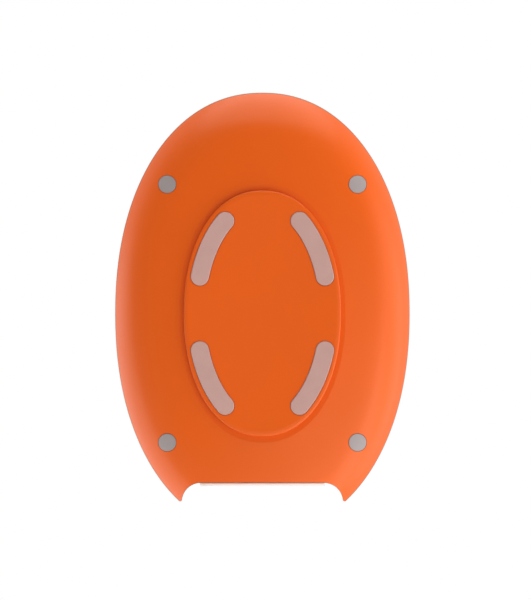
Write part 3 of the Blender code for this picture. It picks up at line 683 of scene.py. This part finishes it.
class Nodes:
    """Short way to wire a material's nodes."""

    def __init__(self, name):
        self.material = bpy.data.materials.new(name)
        self.material.use_nodes = True
        self.tree = self.material.node_tree
        self.shader = self.tree.nodes["Principled BSDF"]
        self.place = self.add("ShaderNodeTexCoord").outputs["Object"]

    def add(self, kind, **values):
        node = self.tree.nodes.new(kind)
        for key, value in values.items():
            if hasattr(node, key):
                setattr(node, key, value)
            else:
                node.inputs[key].default_value = value
        return node

    def link(self, source, target):
        self.tree.links.new(source, target)

    def axes(self):
        split = self.add("ShaderNodeSeparateXYZ")
        self.link(self.place, split.inputs["Vector"])
        return split.outputs

    def noise(self, scale, detail=3.0, roughness=0.55, stretch=None):
        node = self.add("ShaderNodeTexNoise", Scale=scale, Detail=detail, Roughness=roughness)
        if stretch:
            mapping = self.add("ShaderNodeMapping")
            mapping.inputs["Scale"].default_value = stretch
            self.link(self.place, mapping.inputs["Vector"])
            self.link(mapping.outputs["Vector"], node.inputs["Vector"])
        else:
            self.link(self.place, node.inputs["Vector"])
        return node.outputs["Fac"]

    def spread(self, source, low, high, first=0.0, last=1.0):
        node = self.add("ShaderNodeMapRange")
        node.inputs["From Min"].default_value = low
        node.inputs["From Max"].default_value = high
        node.inputs["To Min"].default_value = first
        node.inputs["To Max"].default_value = last
        self.link(source, node.inputs["Value"])
        return node.outputs["Result"]

    def math(self, operation, first, second):
        node = self.add("ShaderNodeMath", operation=operation)
        for socket, value in zip(node.inputs, (first, second)):
            if isinstance(value, (int, float)):
                socket.default_value = value
            else:
                self.link(value, socket)
        return node.outputs["Value"]

    def blend(self, share, first, second):
        node = self.add("ShaderNodeMix", data_type="RGBA")
        if isinstance(share, (int, float)):
            node.inputs[0].default_value = share
        else:
            self.link(share, node.inputs[0])
        for socket, value in ((node.inputs[6], first), (node.inputs[7], second)):
            if isinstance(value, tuple):
                socket.default_value = (*value, 1)
            else:
                self.link(value, socket)
        return node.outputs[2]

    def bump(self, height, strength, distance):
        node = self.add("ShaderNodeBump", Strength=strength, Distance=distance)
        self.link(height, node.inputs["Height"])
        self.link(node.outputs["Normal"], self.shader.inputs["Normal"])
        return node

    def set(self, **values):
        for key, value in values.items():
            socket = self.shader.inputs[key.replace("_", " ")]
            if hasattr(value, "links"):
                self.link(value, socket)
            else:
                socket.default_value = value


def painted_edge_shade_share(m):
    """How much of the painted shade line shows: 1 at the mouth's edge and under the rim's land, 0 elsewhere.
    """
    across, along, height = m.axes()
    corner_x = MOUTH_HALF_WIDTH - MOUTH_CORNER_RADIUS
    corner_y = CENTRE_Y - MOUTH_REACH - MOUTH_CORNER_RADIUS
    past_x = m.math("MAXIMUM", m.math("SUBTRACT", m.math("ABSOLUTE", across, 0.0), corner_x), 0.0)
    past_y = m.math("MAXIMUM", m.math("SUBTRACT", along, corner_y), 0.0)
    reach = m.math("SQRT", m.math("ADD", m.math("POWER", past_x, 2.0), m.math("POWER", past_y, 2.0)), 0.0)
    mouth = m.spread(reach, MOUTH_CORNER_RADIUS + EDGE_SHADE_WIDTH / 2, MOUTH_CORNER_RADIUS + EDGE_SHADE_WIDTH, 1.0, 0.0)
    land = RIM_HEIGHT - RIM_LAND
    rim = m.spread(height, land - 3.0 * EDGE_SHADE_WIDTH, land - 1.5 * EDGE_SHADE_WIDTH)
    return m.math("MAXIMUM", mouth, rim)


def moulded(name, colour, shade, roughness, grain, level=0.5, tint=(1.0, 1.0, 1.0), edge_shade=None, lip=None):
    """Moulded plastic: slow colour drift, a fine spark-eroded grain, and faint scuffs that dull the sheen.

    The edge shade colour paints shade as a thin darker line along the shell's edges, and the lip colour
    paints bounce light, brighter and warmer, on the panel's low edge.
    """
    m = Nodes(name)
    drift = m.spread(m.noise(9.0, 2.0), 0.35, 0.65)
    specks = m.spread(m.noise(1400.0, 2.0), 0.3, 0.7)
    mixed = m.blend(drift, colour, shade)
    surface_colour = m.blend(m.math("MULTIPLY", specks, 0.06), mixed, tuple(min(c * 1.5 + 0.01, 1) for c in colour))
    # Painted shade: a darker line along the rim and mouth edges.
    if edge_shade:
        surface_colour = m.blend(painted_edge_shade_share(m), surface_colour, edge_shade)
    # Painted bounce light: the panel's low edge is brighter and warmer, fading out going up.
    if lip:
        surface_colour = m.blend(m.spread(m.axes()["Z"], LIP_BOUNCE_LIGHT_FULL, LIP_BOUNCE_LIGHT_GONE, 1.0, 0.0), surface_colour, lip)
    m.link(surface_colour, m.shader.inputs["Base Color"])
    scuff = m.spread(m.noise(60.0, 6.0, 0.7, stretch=(1.0, 0.12, 1.0)), 0.56, 0.74)
    sheen = m.spread(drift, 0.0, 1.0, roughness - 0.02, roughness + 0.02)
    m.link(m.math("ADD", sheen, m.math("MULTIPLY", scuff, 0.06)), m.shader.inputs["Roughness"])
    m.bump(m.math("ADD", m.noise(2600.0, 2.0), m.math("MULTIPLY", m.noise(30.0, 1.0), 0.6)), grain, 0.0002)
    m.set(Specular_IOR_Level=level, Specular_Tint=(*tint, 1))
    return m.material


def silicone(name, colour, shade):
    m = Nodes(name)
    drift = m.spread(m.noise(25.0, 2.0), 0.35, 0.65)
    m.link(m.blend(drift, colour, shade), m.shader.inputs["Base Color"])
    m.link(m.spread(m.noise(900.0, 3.0), 0.3, 0.7, 0.48, 0.6), m.shader.inputs["Roughness"])
    m.bump(m.noise(1800.0, 3.0), 0.25, 0.0002)
    m.set(Subsurface_Weight=0.12, Subsurface_Scale=0.002, Specular_IOR_Level=0.4)
    return m.material


def metal(name, colour, roughness):
    m = Nodes(name)
    turned_marks = m.noise(500.0, 3.0, 0.6, stretch=(1.0, 1.0, 9.0))
    m.link(m.blend(turned_marks, colour, tuple(c * 0.8 for c in colour)), m.shader.inputs["Base Color"])
    m.link(m.spread(turned_marks, 0.3, 0.7, roughness - 0.06, roughness + 0.08), m.shader.inputs["Roughness"])
    m.bump(turned_marks, 0.2, 0.0001)
    m.set(Metallic=1.0)
    return m.material


def foam_material():
    m = Nodes("foam_cells")
    cells = m.add("ShaderNodeTexVoronoi", Scale=700.0)
    m.link(m.place, cells.inputs["Vector"])
    wall = m.spread(cells.outputs["Distance"], 0.0, 0.6)
    m.link(m.blend(wall, (0.78, 0.76, 0.70), (0.90, 0.89, 0.85)), m.shader.inputs["Base Color"])
    m.link(m.spread(m.noise(200.0), 0.3, 0.7, 0.82, 0.95), m.shader.inputs["Roughness"])
    m.bump(wall, 0.5, 0.0004)
    return m.material


def dress(target, material, node):
    target.data.materials.clear()
    target.data.materials.append(material)
    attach(target, "root")
    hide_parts(node)


orange = moulded(
    "orange_plastic",
    (0.73, 0.102, 0.0062),
    (0.71, 0.099, 0.0058),
    0.31,
    0.05,
    level=0.33,
    tint=(1.0, 0.88, 0.72),
    # Colour of the painted shade line along the rim and mouth edges.
    edge_shade=(0.36, 0.10, 0.04),
)
# The lip colour is painted bounce light, brighter and warmer than the panel.
pale = moulded("pale_plastic", (0.62, 0.585, 0.56), (0.58, 0.55, 0.525), 0.42, 0.08, lip=(0.90, 0.76, 0.71))
grey = moulded("grey_plastic", (0.315, 0.265, 0.255), (0.295, 0.25, 0.24), 0.55, 0.12)
black = moulded("black_rubber", (0.025, 0.025, 0.027), (0.02, 0.02, 0.022), 0.6, 0.15)
pink = silicone("pink_silicone", (0.525, 0.31, 0.272), (0.495, 0.295, 0.257))
steel = metal("turned_steel", (0.62, 0.62, 0.64), 0.3)
brass = metal("turned_brass", (0.72, 0.52, 0.22), 0.3)
foam = foam_material()

dress(make_shell(), orange, "lower_shell")
dress(make_base_plate(), orange, "base_plate")
dress(make_panel(), pale, "upper_panel")
dress(make_gasket(), black, "rim_gasket")
for quarter, pad in make_pads():
    dress(pad, pink, f"grip_pad_{quarter}")
for quarter, plug in make_plugs():
    dress(plug, grey, f"screw_plug_{quarter}")
hidden = (
    ("shell_screw", steel),
    ("washer", steel),
    ("base_screw", steel),
    ("threaded_insert", brass),
    ("foam_core", foam),
)
for node, made in frame["nodes"].items():
    for start, material in hidden:
        if node.startswith(start):
            made.data.materials.clear()
            made.data.materials.append(material)


# ---- Stage, light and camera ----


def far_softbox(name, elevation, azimuth, brightness, spread=75):
    """A round softbox so far away that its light is even over the whole board."""
    light = bpy.data.lights.new(name, "SUN")
    light.angle = math.radians(spread)
    light.energy = brightness * math.pi * math.sin(light.angle / 2) ** 2
    made = bpy.data.objects.new(name, light)
    up, turn = math.radians(elevation), math.radians(azimuth)
    towards = Vector((math.cos(up) * math.cos(turn), math.cos(up) * math.sin(turn), math.sin(up)))
    made.location = STAND_OFF * towards
    made.rotation_euler = towards.to_track_quat("Z", "Y").to_euler()
    bpy.context.scene.collection.objects.link(made)


def make_floor():
    """Plain pale floor. It lets light and the view from below through, and shows only from above."""
    bpy.ops.mesh.primitive_grid_add(
        x_subdivisions=8, y_subdivisions=8, size=FLOOR_SIZE, location=(0, 0, -FLOOR_DROP)
    )
    floor = bpy.context.object
    floor.name = "floor"
    m = Nodes("pale_floor")
    m.link(m.blend(m.noise(3.0, 4.0), (0.44, 0.44, 0.44), (0.48, 0.48, 0.48)), m.shader.inputs["Base Color"])
    m.set(Roughness=0.7, Emission_Color=(1, 1, 1, 1), Emission_Strength=0.22)
    see_through = m.add("ShaderNodeBsdfTransparent")
    side = m.add("ShaderNodeNewGeometry")
    choose = m.add("ShaderNodeMixShader")
    m.link(side.outputs["Backfacing"], choose.inputs[0])
    m.link(m.shader.outputs["BSDF"], choose.inputs[1])
    m.link(see_through.outputs["BSDF"], choose.inputs[2])
    m.link(choose.outputs["Shader"], m.tree.nodes["Material Output"].inputs["Surface"])
    floor.data.materials.append(m.material)
    for flag in ("visible_shadow", "visible_diffuse", "visible_glossy", "visible_transmission"):
        setattr(floor, flag, False)


def make_light():
    """An even studio sky, dimmer below the horizon, and far softboxes, most of them below the board."""
    world = bpy.data.worlds.new("studio")
    bpy.context.scene.world = world
    world.use_nodes = True
    tree = world.node_tree
    back = tree.nodes["Background"]
    place = tree.nodes.new("ShaderNodeTexCoord")
    split = tree.nodes.new("ShaderNodeSeparateXYZ")
    ramp = tree.nodes.new("ShaderNodeValToRGB")
    share = tree.nodes.new("ShaderNodeMapRange")
    share.inputs["From Min"].default_value = -1
    tree.links.new(place.outputs["Generated"], split.inputs["Vector"])
    tree.links.new(split.outputs["Z"], share.inputs["Value"])
    tree.links.new(share.outputs["Result"], ramp.inputs["Fac"])
    ramp.color_ramp.elements[0].position = SKY[0][0]
    ramp.color_ramp.elements[1].position = SKY[-1][0]
    for position, _ in SKY[1:-1]:
        ramp.color_ramp.elements.new(position)
    for element, (_, value) in zip(ramp.color_ramp.elements, SKY):
        element.color = (value, value, value, 1)
    tree.links.new(ramp.outputs["Color"], back.inputs["Color"])
    back.inputs["Strength"].default_value = 1.0

    far_softbox("key_softbox", -42, 235, 1.6)
    far_softbox("head_softbox", -4, 93, 2.0)
    far_softbox("side_softbox", -12, 195, 1.5)
    far_softbox("mouth_softbox", 18, 330, 1.3)
    far_softbox("low_softbox", -25, 318, 0.45)


def make_camera():
    """Looks straight up at the underside, with the head end at the top of the picture."""
    low, high = cad_box
    camera = bpy.data.cameras.new("camera")
    camera.type = "ORTHO"
    camera.ortho_scale = VIEW_TO_LENGTH * (high.y - low.y)
    camera.clip_start, camera.clip_end = 0.01, 50
    made = bpy.data.objects.new("camera", camera)
    bpy.context.scene.collection.objects.link(made)
    centre = (low + high) / 2
    made.rotation_euler = (math.pi, 0, math.pi)
    made.location = (centre.x - VIEW_ASIDE, centre.y - VIEW_ALONG, -STAND_OFF)
    bpy.context.scene.camera = made


make_floor()
make_light()
make_camera()

scene = bpy.context.scene
scene.view_settings.view_transform = "Standard"
scene.view_settings.look = "None"
